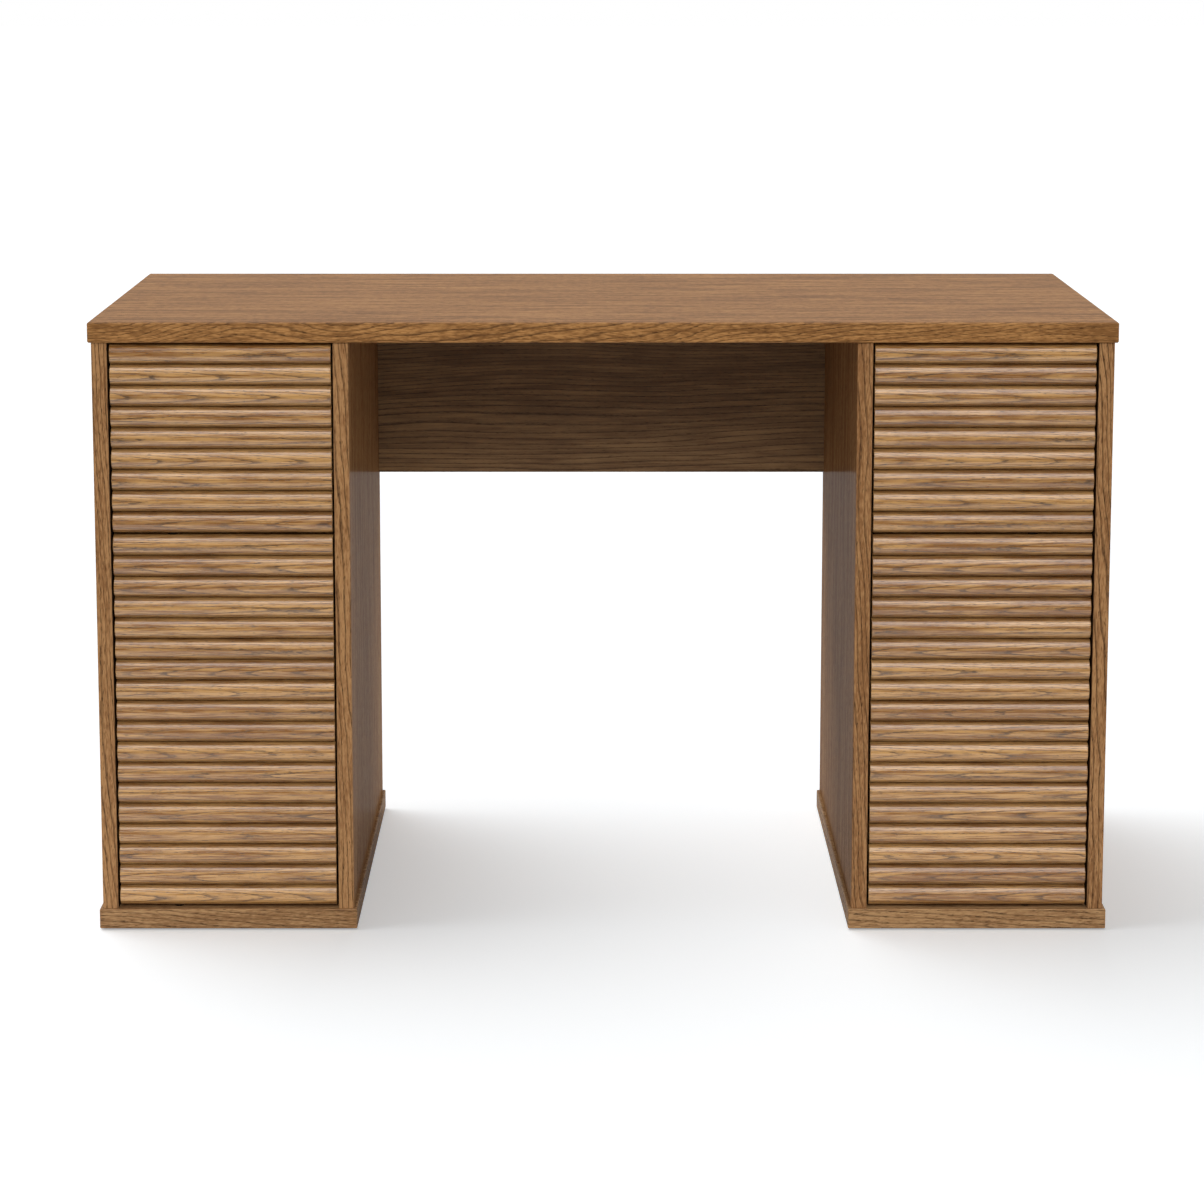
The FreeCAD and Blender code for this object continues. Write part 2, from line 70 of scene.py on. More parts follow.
MILLIMETRE = 0.001
MIDDLE = 0.5
AXES = range(3)
RIGHTWARDS = Vector((1, 0, 0))
FORWARDS = Vector((0, -1, 0))
WHITE = (1.0, 1.0, 1.0, 1.0)

# How a screen turns the digits of a colour into light
DIGITS_TOP = 255
DARK_TOP = 0.04045
DARK_SLOPE = 12.92
BRIGHT_OFFSET = 0.055
BRIGHT_POWER = 2.4

Colour = tuple[float, float, float, float]
Waves = tuple[float, float, float]
Span = tuple[float, float]
Label = Union[int, str]
Term = Union["Value", float, int]


class Grain(Enum):
    """The axis that the fibres of a board run along."""

    ACROSS_DESK = 0
    INTO_DESK = 1
    UPRIGHT = 2


class Lit(Enum):
    """What a lamp shines on, as the state of the floor in the lamp's light linking."""

    DESK = "EXCLUDE"
    FLOOR = "INCLUDE"


class Side(Enum):
    """The two pedestals."""

    LEFT = "left"
    RIGHT = "right"


def linear(code: str) -> Colour:
    """Turn a colour as it looks on a screen into the linear one that shaders take.

    Args:
        code: The colour as six hexadecimal digits after a hash.

    Returns:
        Red, green, blue and an alpha of one.
    """
    shares = [int(code[start:start + 2], 16) / DIGITS_TOP for start in (1, 3, 5)]
    red, green, blue = [share / DARK_SLOPE if share <= DARK_TOP
                        else ((share + BRIGHT_OFFSET) / (1 + BRIGHT_OFFSET)) ** BRIGHT_POWER
                        for share in shares]
    return red, green, blue, 1.0


class Value:
    """A node's output, so that sums on it are written as expressions."""

    def __init__(self, graph: "Graph", socket: bpy.types.NodeSocket) -> None:
        """Keep the output and the graph that it is in."""
        self.graph = graph
        self.socket = socket

    def math(self, operation: str, *terms: Term) -> "Value":
        """Add a Math node on the terms, in their order."""
        return self.graph.node("ShaderNodeMath", {"operation": operation}, dict(enumerate(terms)))

    def __add__(self, other: Term) -> "Value":
        """This plus the other."""
        return self.math("ADD", self, other)

    __radd__ = __add__

    def __sub__(self, other: Term) -> "Value":
        """This less the other."""
        return self.math("SUBTRACT", self, other)

    def __rsub__(self, other: Term) -> "Value":
        """The other less this."""
        return self.math("SUBTRACT", other, self)

    def __mul__(self, other: Term) -> "Value":
        """This times the other."""
        return self.math("MULTIPLY", self, other)

    __rmul__ = __mul__

    def __truediv__(self, other: Term) -> "Value":
        """This over the other."""
        return self.math("DIVIDE", self, other)

    def __rtruediv__(self, other: Term) -> "Value":
        """The other over this."""
        return self.math("DIVIDE", other, self)

    def __abs__(self) -> "Value":
        """This without its sign."""
        return self.math("ABSOLUTE", self)

    def __floor__(self) -> "Value":
        """This rounded down."""
        return self.math("FLOOR", self)

    def fraction(self) -> "Value":
        """What is left of this after rounding down."""
        return self.math("FRACT", self)

    def sine(self) -> "Value":
        """The sine of this."""
        return self.math("SINE", self)

    def cosine(self) -> "Value":
        """The cosine of this."""
        return self.math("COSINE", self)

    def arcsine(self) -> "Value":
        """The angle whose sine this is."""
        return self.math("ARCSINE", self)

    def sign(self) -> "Value":
        """One with this value's sign."""
        return self.math("SIGN", self)

    def above(self, limit: Term) -> "Value":
        """One where this is over the limit, and zero elsewhere."""
        return self.math("GREATER_THAN", self, limit)

    def larger(self, other: Term) -> "Value":
        """The larger of this and the other."""
        return self.math("MAXIMUM", self, other)

    def fade(self, start: Term, end: Term) -> "Value":
        """Zero at the start, one at the end, and smooth between them."""
        return self.graph.node("ShaderNodeMapRange", {"interpolation_type": "SMOOTHSTEP"},
                               {"Value": self, "From Min": start, "From Max": end})


class Graph:
    """A node tree that grows one node at a time."""

    def __init__(self, tree: bpy.types.NodeTree) -> None:
        """Keep the tree."""
        self.tree = tree

    def node(self, kind: str, settings: Optional[dict[str, Any]] = None,
             sockets: Optional[dict[Label, Any]] = None, out: Label = 0) -> Optional[Value]:
        """Add a node, set it up and connect it.

        Args:
            kind: The node's type.
            settings: Properties of the node, which are set first.
            sockets: Values, links or lists of links for its inputs, by name or number.
            out: The output to hand back, by name or number.

        Returns:
            The chosen output, or nothing where the node has none.
        """
        made = self.tree.nodes.new(kind)
        for name, setting in (settings or {}).items():
            setattr(made, name, setting)
        for name, given in (sockets or {}).items():
            socket = self.pick(made.inputs, name)
            links = given if isinstance(given, list) else [given]
            for link in links:
                if isinstance(link, Value):
                    self.tree.links.new(link.socket, socket)
                else:
                    socket.default_value = link
        return Value(self, self.pick(made.outputs, out)) if len(made.outputs) else None

    @staticmethod
    def pick(sockets: Any, name: Label) -> bpy.types.NodeSocket:
        """Find a socket.

        Args:
            sockets: A node's inputs or outputs.
            name: The socket's number, or the name of one that is in use.

        Returns:
            The socket.
        """
        if isinstance(name, int):
            return sockets[name]
        return next(socket for socket in sockets if socket.name == name and socket.enabled)

    def split(self, vector: Value) -> tuple[Value, Value, Value]:
        """Take a vector apart.

        Args:
            vector: Any vector output.

        Returns:
            Its three parts.
        """
        first = self.node("ShaderNodeSeparateXYZ", {}, {0: vector})
        parts = first.socket.node.outputs
        return first, Value(self, parts[1]), Value(self, parts[2])

    def join(self, x: Term, y: Term, z: Term) -> Value:
        """Make a vector of three parts."""
        return self.node("ShaderNodeCombineXYZ", {}, {0: x, 1: y, 2: z})

    def noise(self, place: Value, per_metre: Sequence[float], detail: float = 1.0) -> Value:
        """Smooth noise around zero.

        Args:
            place: Where on the piece, in metres.
            per_metre: How many waves there are in a metre, along each axis of the place.
            detail: Octaves of finer noise.

        Returns:
            A value between about minus and plus a half.
        """
        scaled = self.node("ShaderNodeVectorMath", {"operation": "MULTIPLY"}, {0: place, 1: tuple(per_metre)})
        waves = self.node("ShaderNodeTexNoise", {}, {"Vector": scaled, "Scale": 1.0, "Detail": detail})
        return waves - MIDDLE

    def blend(self, share: Term, first: Union[Value, Colour], second: Union[Value, Colour]) -> Value:
        """Mix two colours.

        Args:
            share: How much of the second colour there is.
            first: Colour at a share of zero.
            second: Colour at a share of one.

        Returns:
            The mixed colour.
        """
        return self.node("ShaderNodeMix", {"data_type": "RGBA"}, {"Factor": share, "A": first, "B": second},
                         out="Result")

    def principled(self, sockets: dict[Label, Any]) -> None:
        """End a material in one Principled shader with these inputs."""
        surface = self.node("ShaderNodeBsdfPrincipled", {}, sockets)
        self.node("ShaderNodeOutputMaterial", {}, {"Surface": surface})

    def store(self, geometry: Value, name: str, value: Value, kind: str, domain: str) -> Value:
        """Store a value on a mesh as an attribute of this data type and domain."""
        return self.node("GeometryNodeStoreNamedAttribute", {"data_type": kind, "domain": domain},
                         {"Geometry": geometry, "Name": name, "Value": value})


def blank_material(name: str) -> tuple[bpy.types.Material, Graph]:
    """Make a material with an empty tree.

    Args:
        name: Name of the finish.

    Returns:
        The material and its graph.
    """
    made = bpy.data.materials.new(name)
    made.use_nodes = True
    made.node_tree.nodes.clear()
    return made, Graph(made.node_tree)


class Finish:
    """What every finish has: a material that is made once."""

    name: str

    def material(self) -> bpy.types.Material:
        """The finish's material, which is made at its first use."""
        return bpy.data.materials.get(self.name) or self.make()

    def make(self) -> bpy.types.Material:
        """Make the material."""
        raise NotImplementedError


@dataclass(frozen=True)
class OakFinish(Finish):
    """Smoked oak under a satin lacquer, laid along each board's own grain.

    It reads five attributes: grain is metres along, across and into the board, edge is one on narrow faces,
    tone is a share that differs from board to board or from reed to reed, inside is one on the faces that
    line a cupboard, which get a painted shade so that the gaps round the fronts look dark, and hollow goes
    from zero on a reed's crest to one in the valleys, which get a painted shade too.
    """

    name: str
    pale: str = "#A97B4B"
    body: str = "#835A34"
    vein: str = "#4A3120"
    pore: str = "#362317"
    ring_spacing: float = 6.0 * MILLIMETRE
    ring_depth: float = 3.0 * MILLIMETRE
    early_end: float = 0.34
    late_end: float = 0.93
    bend_per_metre: Waves = (1.3, 7.0, 7.0)
    bend_rings: float = 7.0
    waver_per_metre: Waves = (9.0, 60.0, 60.0)
    waver_rings: float = 0.9
    slant_per_metre: Waves = (4.0, 9.0, 9.0)
    slant_rings: float = 1.5
    slant_slope: float = 10.0
    drift: float = 0.0
    vein_share: float = 0.5
    edge_vein_share: float = 0.5
    vein_patch: float = 0.7
    vein_streak: float = 0.9
    vein_range: Span = (0.15, 0.75)
    patch_per_metre: Waves = (2.2, 16.0, 16.0)
    patch_share: float = 0.6
    band_per_metre: Waves = (9.0, 110.0, 110.0)
    band_share: float = 1.4
    fleck_per_metre: Waves = (16.0, 90.0, 90.0)
    fleck_share: float = 1.4
    streak_per_metre: Waves = (100.0, 620.0, 620.0)
    streak_share: float = 2.2
    tone_share: float = 0.35
    pore_per_metre: Waves = (120.0, 1100.0, 1100.0)
    pore_early: float = 0.16
    pore_range: Span = (0.12, 0.24)
    pore_share: float = 0.7
    # Painted shade: this dark brown darkens the faces that line a cupboard and the valleys between reeds
    painted_shade: str = "#2E2118"
    cupboard_shade_share: float = 0.85
    valley_shade_share: float = 0.0
    valley_shade_reach: float = 0.4
    roughness: float = 0.65
    roughness_change: float = 0.12
    specular: float = 0.0
    coat: float = 0.14
    coat_roughness: float = 0.16
    relief: float = 0.12 * MILLIMETRE
    relief_strength: float = 0.6
    pore_relief: float = 0.7
    vein_relief: float = 0.3

    def make(self) -> bpy.types.Material:
        """Build the shader.

        Returns:
            The material.
        """
        made, graph = blank_material(self.name)
        place = graph.node("ShaderNodeAttribute", {"attribute_name": "grain"}, out="Vector")
        edge, tone, inside, hollow = [graph.node("ShaderNodeAttribute", {"attribute_name": label}, out="Fac")
                                      for label in ("edge", "tone", "inside", "hollow")]
        along, across, depth = graph.split(place)

        bend = graph.noise(place, self.bend_per_metre, detail=1.5) * (2 * self.bend_rings)
        waver = graph.noise(place, self.waver_per_metre, detail=2.0) * (2 * self.waver_rings)
        slant = along * self.slant_slope + graph.noise(place, self.slant_per_metre) * (2 * self.slant_rings)
        drift = along * (tone - MIDDLE) * self.drift
        rings = across / self.ring_spacing + depth / self.ring_depth + edge * slant + drift
        year = (rings + bend + waver).fraction()
        early_wood = (1 - year.fade(0.0, self.early_end)).larger(year.fade(self.late_end, 1.0))

        streak = graph.noise(place, self.streak_per_metre, detail=2.0)
        band = graph.noise(place, self.band_per_metre, detail=2.0)
        patch = graph.noise(place, self.patch_per_metre, detail=2.0)
        fleck = graph.noise(place, self.fleck_per_metre, detail=2.0) * (1 - edge)
        fibre = graph.noise(place, self.pore_per_metre)
        pores = (fibre + early_wood * self.pore_early).fade(*self.pore_range)

        strength = self.vein_share + edge * (self.edge_vein_share - self.vein_share)
        lively = (patch * self.vein_patch + streak * self.vein_streak + MIDDLE).fade(*self.vein_range)
        veins = early_wood * strength * lively
        shade = (MIDDLE + patch * self.patch_share + band * self.band_share + streak * self.streak_share
                 + fleck * self.fleck_share + (tone - MIDDLE) * self.tone_share).fade(0.0, 1.0)
        ground = graph.blend(shade, linear(self.body), linear(self.pale))
        veined = graph.blend(veins, ground, linear(self.vein))
        pored = graph.blend(pores * self.pore_share, veined, linear(self.pore))
        # Painted shade in the reeds' valleys and on the faces inside a cupboard, mixed toward the dark brown
        valley_shade = hollow.fade(0.0, self.valley_shade_reach) * self.valley_shade_share
        colour = graph.blend((inside * self.cupboard_shade_share).larger(valley_shade), pored, linear(self.painted_shade))

        gloss = self.roughness + pores * self.roughness_change + streak * self.roughness_change
        relief = graph.node("ShaderNodeBump", {}, {
            "Strength": self.relief_strength, "Distance": self.relief,
            "Height": 1 - pores * self.pore_relief - veins * self.vein_relief})
        graph.principled({"Base Color": colour, "Roughness": gloss, "Specular IOR Level": self.specular,
                          "Coat Weight": self.coat, "Coat Roughness": self.coat_roughness, "Normal": relief})
        return made


@dataclass(frozen=True)
class MetalFinish(Finish):
    """Rolled or plated metal with a faint drawn texture."""

    name: str
    colour: str = "#B9BCC0"
    dull: str = "#8E9196"
    roughness: float = 0.32
    drawn_per_metre: Waves = (900.0, 25.0, 900.0)
    drawn_share: float = 0.6
    drawn_roughness: float = 0.1
    cloud_per_metre: Waves = (45.0, 45.0, 45.0)
    cloud_range: Span = (0.1, 0.9)
    cloud_roughness: float = 0.15
    relief: float = 0.05 * MILLIMETRE
    relief_strength: float = 0.2

    def make(self) -> bpy.types.Material:
        """Build the shader.

        Returns:
            The material.
        """
        made, graph = blank_material(self.name)
        place = graph.node("ShaderNodeTexCoord", out="Object")
        drawn = graph.noise(place, self.drawn_per_metre, detail=2.0)
        cloud = graph.noise(place, self.cloud_per_metre, detail=3.0)
        dulled = (MIDDLE + cloud + drawn * self.drawn_share).fade(*self.cloud_range)
        colour = graph.blend(dulled, linear(self.colour), linear(self.dull))
        gloss = self.roughness + cloud * self.cloud_roughness + drawn * self.drawn_roughness
        relief = graph.node("ShaderNodeBump", {}, {
            "Strength": self.relief_strength, "Distance": self.relief, "Height": drawn})
        graph.principled({"Base Color": colour, "Metallic": 1.0, "Roughness": gloss, "Normal": relief})
        return made


@dataclass(frozen=True)
class MouldedFinish(Finish):
    """Moulded plastic with a fine sparked texture."""

    name: str
    colour: str = "#3A3937"
    worn: str = "#4A4946"
    roughness: float = 0.48
    cloud_per_metre: Waves = (60.0, 60.0, 60.0)
    cloud_range: Span = (0.2, 0.8)
    cloud_roughness: float = 0.15
    spark_per_metre: Waves = (2200.0, 2200.0, 2200.0)
    relief: float = 0.05 * MILLIMETRE
    relief_strength: float = 0.3

    def make(self) -> bpy.types.Material:
        """Build the shader.

        Returns:
            The material.
        """
        made, graph = blank_material(self.name)
        place = graph.node("ShaderNodeTexCoord", out="Object")
        spark = graph.noise(place, self.spark_per_metre)
        cloud = graph.noise(place, self.cloud_per_metre, detail=2.0)
        colour = graph.blend((MIDDLE + cloud).fade(*self.cloud_range), linear(self.colour), linear(self.worn))
        gloss = self.roughness + cloud * self.cloud_roughness
        relief = graph.node("ShaderNodeBump", {}, {
            "Strength": self.relief_strength, "Distance": self.relief, "Height": spark})
        graph.principled({"Base Color": colour, "Roughness": gloss, "Normal": relief})
        return made


# The fluted fronts darken toward their valleys as painted shade
FRONT_OAK = OakFinish("fluted front oak", pale="#C8985C", body="#8C5E31", vein="#43291A", vein_share=0.65,
                      ring_spacing=16.0 * MILLIMETRE, ring_depth=2.2 * MILLIMETRE, drift=36.0,
                      bend_per_metre=(2.4, 15.0, 15.0), bend_rings=2.2,
                      waver_per_metre=(7.0, 70.0, 70.0), waver_rings=0.7, fleck_share=0.0,
                      streak_per_metre=(26.0, 520.0, 520.0), streak_share=2.0,
                      valley_shade_share=0.3, valley_shade_reach=0.75,
                      roughness=0.28, specular=0.9, coat=0.5, coat_roughness=0.24)
TOP_OAK = OakFinish("tabletop oak", pale="#B2814E", body="#7F5732", vein_share=0.6, edge_vein_share=0.7,
                    slant_rings=6.0, slant_slope=-16.0, fleck_per_metre=(5.0, 50.0, 50.0), fleck_share=1.1,
                    bend_per_metre=(2.0, 9.0, 9.0), bend_rings=5.0)
SIDE_OAK = OakFinish("side board oak", pale="#AB8055", body="#835B39", edge_vein_share=0.85,
                     fleck_per_metre=(5.0, 50.0, 50.0), fleck_share=1.1, coat=0.09)
BASE_OAK = OakFinish("base board oak", pale="#B08A60", body="#896543", vein_share=0.45,
                     edge_vein_share=0.6, bend_rings=2.5)
PANEL_OAK = OakFinish("panel oak", pale="#A9865E", body="#7E6043", vein="#3E2B22", vein_share=0.8,
                      ring_spacing=7.0 * MILLIMETRE, bend_per_metre=(1.3, 6.0, 6.0), bend_rings=8.0,
                      waver_per_metre=(4.0, 26.0, 26.0), waver_rings=0.6, fleck_per_metre=(5.0, 50.0, 50.0),
                      fleck_share=0.8, streak_per_metre=(24.0, 420.0, 420.0), streak_share=1.3,
                      pore_share=0.45, roughness=0.6, specular=0.25)
BACK_OAK = OakFinish("back panel oak")
# Painted shade: the boards inside the cupboards are dark so that the gaps round the fronts look dark
SHADED_INSIDE_OAK = OakFinish("inside oak", pale="#5C4532", body="#46331F", vein="#2F2217", pore="#241910")
DRAWER_WOOD = OakFinish("drawer beech", pale="#D9B989", body="#CBA671", vein="#A77F4E", pore="#8C683F",
                        vein_share=0.35, pore_share=0.3, roughness=0.5, specular=0.3, coat=0.0)
SLIDE_STEEL = MetalFinish("slide steel", dull="#A3A6AA")
ZINC = MetalFinish("zinc plate", colour="#C6C8C6", dull="#A2A5A6", roughness=0.36,
                   drawn_per_metre=(300.0, 300.0, 300.0))
PIVOT_STEEL = MetalFinish("pivot steel", colour="#3B3A39", dull="#2B2A29", roughness=0.4)
BRASS = MetalFinish("bush brass", colour="#C9A24E", dull="#A9833A", roughness=0.28)
LATCH_PLASTIC = MouldedFinish("latch plastic")
NYLON = MouldedFinish("cage nylon", colour="#D8D6CE", worn="#C6C3B9", roughness=0.42)

# The outer sides differ in tone, and the faces of a front's lipped ends look sideways within this turn
OUTER_TONES = {Side.LEFT: 1.0, Side.RIGHT: 0.45}
LIPPING_TURN = math.radians(20)
# A front has a point at each end of its width, and one at the arris beside each end
FRONT_COLUMNS = 4


def report(piece: bpy.types.Object) -> None:
    """Log one finished piece."""
    log.info("%s: %d faces", piece.name, len(piece.data.polygons))


def stand_for(piece: bpy.types.Object, node: str) -> bpy.types.Object:
    """Let a piece take the place of a CAD node, on the node's own body.

    Args:
        piece: The new piece, in place.
        node: The node that it stands for.

    Returns:
        The piece.
    """
    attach(piece, frame["nodes"][node]["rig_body"])
    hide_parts(node)
    report(piece)
    return piece


def paint(nodes: Sequence[str], finish: Finish) -> None:
    """Give CAD nodes a finish.

    Args:
        nodes: Names of the nodes.
        finish: The finish for all of them.
    """
    for node in nodes:
        piece = frame["nodes"][node]
        if not piece.material_slots:
            piece.data.materials.append(finish.material())
        for slot in piece.material_slots:
            slot.material = finish.material()
        report(piece)


@dataclass
class Board:
    """A wooden board: its CAD solid with softened arrises and the grain laid along it.

    Its faces that look along lines are the ones that line a cupboard, and the oak's shader gives them a
    painted shade. Its tone goes from dark at zero to pale at one, and is drawn by its name where none is
    given.
    """

    node: str
    grain: Grain
    finish: OakFinish
    slot: str
    lines: Vector = Vector()
    tone: Optional[float] = None
    faces_along: float = 0.9
    weld: float = 0.01 * MILLIMETRE
    flat_turn: float = math.radians(0.5)
    arris_turns: Span = (math.radians(35), math.radians(55))
    arris: float = 0.3 * MILLIMETRE
    arris_steps: int = 2
    arris_profile: float = 0.5
    narrow: float = 30.0 * MILLIMETRE
    seed_spread: float = 7.0
    opposite_layer: float = 0.5

    def build(self) -> bpy.types.Object:
        """Copy the CAD solid, soften it and lay the grain.

        Returns:
            The new piece.
        """
        shape = bmesh.new()
        shape.from_mesh(frame["nodes"][self.node].data)
        bmesh.ops.remove_doubles(shape, verts=shape.verts, dist=self.weld)
        bmesh.ops.dissolve_limit(shape, angle_limit=self.flat_turn, verts=shape.verts, edges=shape.edges)
        low, high = self.arris_turns
        arrises = [edge for edge in shape.edges
                   if len(edge.link_faces) == 2 and low < edge.calc_face_angle_signed() < high]
        for face in shape.faces:
            face.smooth = False
        if arrises:
            rounded = bmesh.ops.bevel(shape, geom=arrises, offset=self.arris, segments=self.arris_steps,
                                      profile=self.arris_profile, affect="EDGES", clamp_overlap=True)
            for face in rounded["faces"]:
                face.smooth = True
        mesh = bpy.data.meshes.new(self.node + "_wood")
        shape.to_mesh(mesh)
        shape.free()
        self.lay_grain(mesh)
        mesh.materials.append(self.finish.material())
        piece = bpy.data.objects.new(mesh.name, mesh)
        bpy.context.scene.collection.objects.link(piece)
        return stand_for(piece, self.node)

    def lay_grain(self, mesh: bpy.types.Mesh) -> None:
        """Store where each corner is along, across and into the board, as the oak's shader reads it.

        Args:
            mesh: The board's mesh.
        """
        low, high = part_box(self.node)
        sizes = high - low
        draw = random.Random(self.node)
        seed = draw.random() * self.seed_spread
        grain_values: list[float] = []
        edge_values: list[float] = []
        inside_values: list[float] = []
        for face in mesh.polygons:
            facing = max(AXES, key=lambda axis: abs(face.normal[axis]))
            others = [axis for axis in AXES if axis != facing]
            longest = max(others, key=lambda axis: sizes[axis])
            along = self.grain.value if self.grain.value in others else longest
            across = next(axis for axis in others if axis != along)
            layer = seed + facing + (self.opposite_layer if face.normal[facing] > 0 else 0.0)
            for vertex in face.vertices:
                point = mesh.vertices[vertex].co
                grain_values += [point[along], point[across], layer]
            edge_values.append(1.0 if sizes[across] < self.narrow else 0.0)
            # Faces that line a cupboard are marked for the painted shade that keeps the gaps round the fronts
            # dark
            inside_values.append(1.0 if face.normal.dot(self.lines) > self.faces_along else 0.0)
        mesh.attributes.new("grain", "FLOAT_VECTOR", "CORNER").data.foreach_set("vector", grain_values)
        tone = draw.random() if self.tone is None else self.tone
        face_values = {"edge": edge_values, "inside": inside_values, "tone": [tone] * len(edge_values)}
        for name, values in face_values.items():
            mesh.attributes.new(name, "FLOAT", "FACE").data.foreach_set("value", values)


def geometry_tree(name: str, inputs: dict[str, str]) -> tuple[Graph, dict[str, Value]]:
    """Start a Geometry Nodes tree.

    Args:
        name: The tree's name.
        inputs: Socket types by the name of each input.

    Returns:
        The tree's graph, and its inputs by name.
    """
    tree = bpy.data.node_groups.new(name, "GeometryNodeTree")
    tree.is_modifier = True
    for label, kind in inputs.items():
        tree.interface.new_socket(label, in_out="INPUT", socket_type=kind)
    tree.interface.new_socket("Geometry", in_out="OUTPUT", socket_type="NodeSocketGeometry")
    graph = Graph(tree)
    start = graph.node("NodeGroupInput").socket.node
    return graph, {label: Value(graph, Graph.pick(start.outputs, label)) for label in inputs}


def finish_tree(graph: Graph, geometry: Value, material: Value) -> None:
    """End a Geometry Nodes tree with real meshes that have their material.

    Args:
        graph: The tree's graph.
        geometry: What has been made.
        material: The material for all of it.
    """
    real = graph.node("GeometryNodeRealizeInstances", {}, {0: geometry})
    painted = graph.node("GeometryNodeSetMaterial", {}, {"Geometry": real, "Material": material})
    graph.node("NodeGroupOutput", {}, {0: painted})


def shade_by_angle(graph: Graph, geometry: Value, turn: Value) -> Value:
    """Smooth a mesh, but keep the edges that turn by more than an angle.

    Args:
        graph: The tree's graph.
        geometry: The mesh.
        turn: The angle, in radians.

    Returns:
        The shaded mesh.
    """
    smooth = graph.node("GeometryNodeSetShadeSmooth", {"domain": "FACE"}, {0: geometry, 2: True})
    sharp = graph.node("GeometryNodeInputMeshEdgeAngle").above(turn)
    return graph.node("GeometryNodeSetShadeSmooth", {"domain": "EDGE"}, {0: smooth, 1: sharp, 2: False})


def grown(name: str, tree: bpy.types.NodeTree, values: dict[str, Any],
          start: Optional[bpy.types.Mesh] = None) -> bpy.types.Object:
    """Run a Geometry Nodes tree and keep its result as a plain mesh.

    Args:
        name: The piece's name.
        tree: The tree.
        values: The tree's inputs by name.
        start: The mesh that the tree starts from, if it needs one.

    Returns:
        The piece, with no modifier left.
    """
    piece = bpy.data.objects.new(name, start or bpy.data.meshes.new(name))
    bpy.context.scene.collection.objects.link(piece)
    modifier = piece.modifiers.new("build", "NODES")
    modifier.node_group = tree
    for item in tree.interface.items_tree:
        if item.in_out == "INPUT" and item.name in values:
            modifier[item.identifier] = values[item.name]
    depsgraph = bpy.context.evaluated_depsgraph_get()
    mesh = bpy.data.meshes.new_from_object(piece.evaluated_get(depsgraph), preserve_all_data_layers=True,
                                           depsgraph=depsgraph)
    piece.modifiers.clear()
    piece.data = mesh
    mesh.name = name
    return piece


